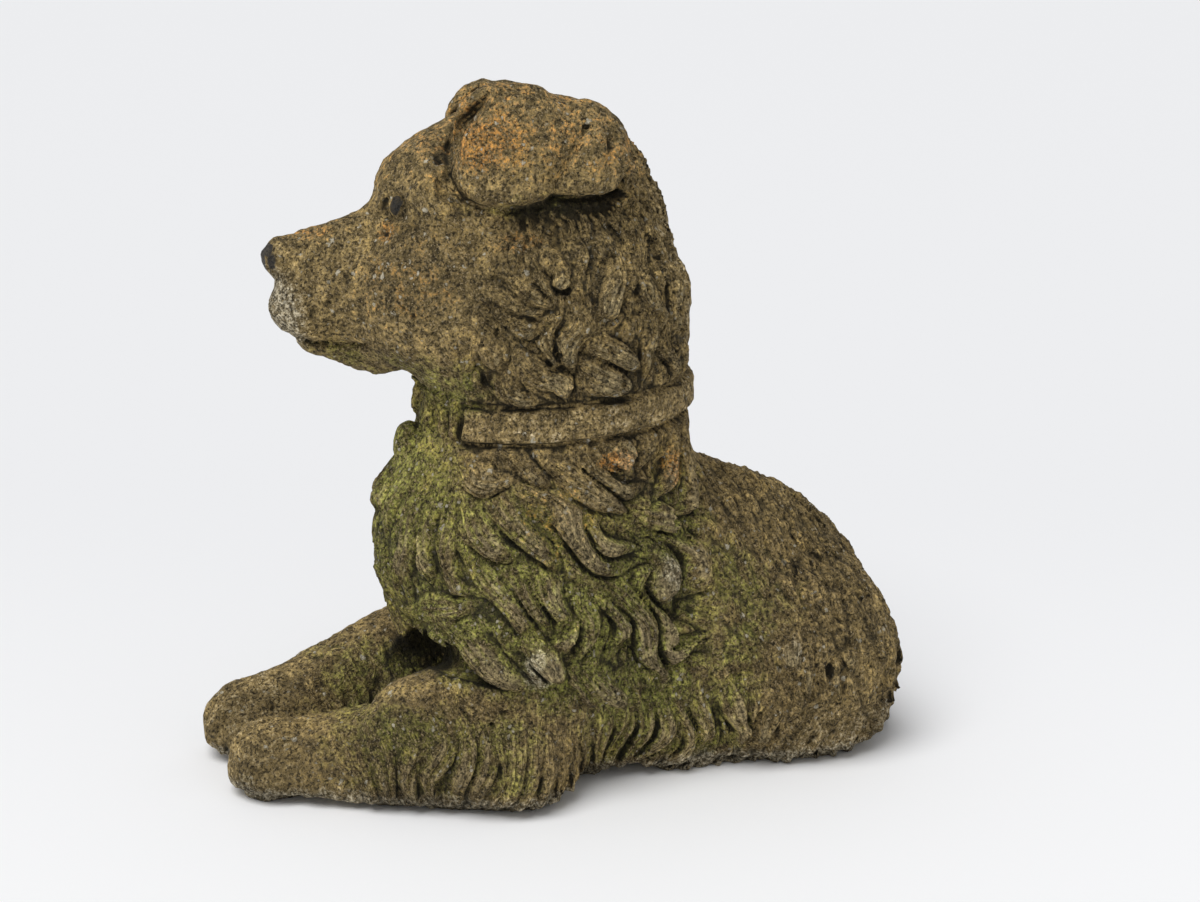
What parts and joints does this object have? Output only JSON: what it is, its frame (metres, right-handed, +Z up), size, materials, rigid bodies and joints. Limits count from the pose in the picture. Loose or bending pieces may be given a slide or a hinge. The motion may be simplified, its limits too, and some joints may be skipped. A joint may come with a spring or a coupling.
{
  "type": "recumbent terrier statue",
  "caption": "Garden statue of a long-haired terrier lying down with head raised, wearing a collar with a medallion, cast as one solid stone piece.",
  "frame": {"origin": "centre of the bounding box's footprint, on the flat underside", "axes": "+Z up; the dog lies along Y and looks towards -Y, its left side is +X"},
  "size_m": [0.1762, 0.342, 0.326],
  "materials": {
    "cast_stone": "weathered cast stone, rough with grains, moss and rust-coloured lichen"
  },
  "bodies": {
    "root": {"terrier": "cast_stone"}
  },
  "joints": []
}
